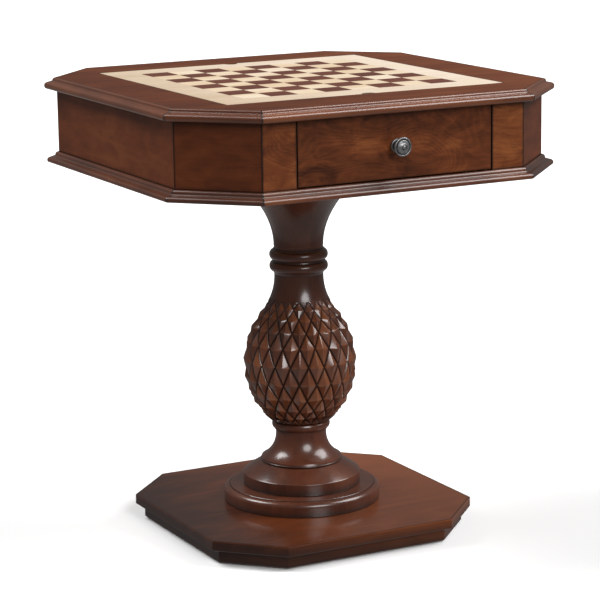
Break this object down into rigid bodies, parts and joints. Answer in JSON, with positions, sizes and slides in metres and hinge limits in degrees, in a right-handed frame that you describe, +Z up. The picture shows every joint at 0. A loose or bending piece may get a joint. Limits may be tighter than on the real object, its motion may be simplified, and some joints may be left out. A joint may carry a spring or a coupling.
{
  "type": "gaming table",
  "caption": "Octagonal pedestal gaming table with a lift-out chess board over a well, a drawer, a turned column with a carved pineapple bulb, and a two-layer base.",
  "frame": {"origin": "on the floor, on the column's axis", "axes": "+Z up; -Y is the front, the way the drawer opens; +X is to the right of a person who looks at the drawer"},
  "size_m": [0.7112, 0.7177, 0.772],
  "materials": {
    "top_veneer": "satin-gloss reddish-brown cherry veneer, fine straight grain",
    "cherry": "satin-gloss brown cherry stain with dark glaze in the joints",
    "figured_veneer": "satin-gloss figured veneer, swirling grain",
    "turned_wood": "glossy dark brown lacquer with dark glaze in the carving",
    "base_wood": "satin-gloss brown cherry veneer, straight grain along X",
    "maple_board": "satin maple veneer with inlaid brown squares",
    "inner_wood": "plain sanded plywood and softwood",
    "pewter": "antique pewter, darkened in the grooves",
    "steel": "zinc plated",
    "plastic": "matt dark brown"
  },
  "bodies": {
    "table": {"top_frame": "top_veneer", "top_molding_front": "cherry", "bottom_molding_front": "cherry", "top_molding_front_right": "cherry", "bottom_molding_front_right": "cherry", "top_molding_right": "cherry", "bottom_molding_right": "cherry", "top_molding_back_right": "cherry", "bottom_molding_back_right": "cherry", "top_molding_back": "cherry", "bottom_molding_back": "cherry", "top_molding_back_left": "cherry", "bottom_molding_back_left": "cherry", "top_molding_left": "cherry", "bottom_molding_left": "cherry", "top_molding_front_left": "cherry", "bottom_molding_front_left": "cherry", "apron_left": "cherry", "apron_right": "cherry", "apron_back": "cherry", "well_frame": "cherry", "corner_board_front_left": "cherry", "corner_board_front_right": "cherry", "corner_board_back_right": "cherry", "corner_board_back_left": "cherry", "front_stile_left": "figured_veneer", "front_stile_right": "figured_veneer", "well_floor": "figured_veneer", "pedestal_disc": "turned_wood", "pedestal_foot": "turned_wood", "bead_ring": "turned_wood", "pineapple_bulb": "turned_wood", "pedestal_neck": "turned_wood", "capital": "turned_wood", "base_plate": "base_wood", "plinth": "base_wood", "box_floor": "inner_wood", "mounting_block": "inner_wood", "drawer_guide_left": "inner_wood", "drawer_guide_right": "inner_wood", "drawer_stop": "inner_wood", "rod_nut_top": "steel", "rod_nut_bottom": "steel", "tie_rod": "steel", "mounting_screw_front_left": "steel", "mounting_screw_front_right": "steel", "mounting_screw_back_right": "steel", "mounting_screw_back_left": "steel", "glide_front_left": "plastic", "glide_front_right": "plastic", "glide_back_right": "plastic", "glide_back_left": "plastic"},
    "drawer": {"drawer_front": "figured_veneer", "drawer_side_left": "inner_wood", "drawer_side_right": "inner_wood", "drawer_back": "inner_wood", "drawer_bottom": "inner_wood", "knob": "pewter", "knob_screw": "steel"},
    "board": {"game_board": "maple_board"}
  },
  "joints": [
    {"name": "drawer_slide", "type": "slide", "parent": "table", "child": "drawer", "axis": [0, -1, 0], "range_m": [0, 0.28]},
    {"name": "board_lift", "type": "slide", "parent": "table", "child": "board", "axis": [0, 0, 1], "range_m": [0, 0.12]}
  ]
}
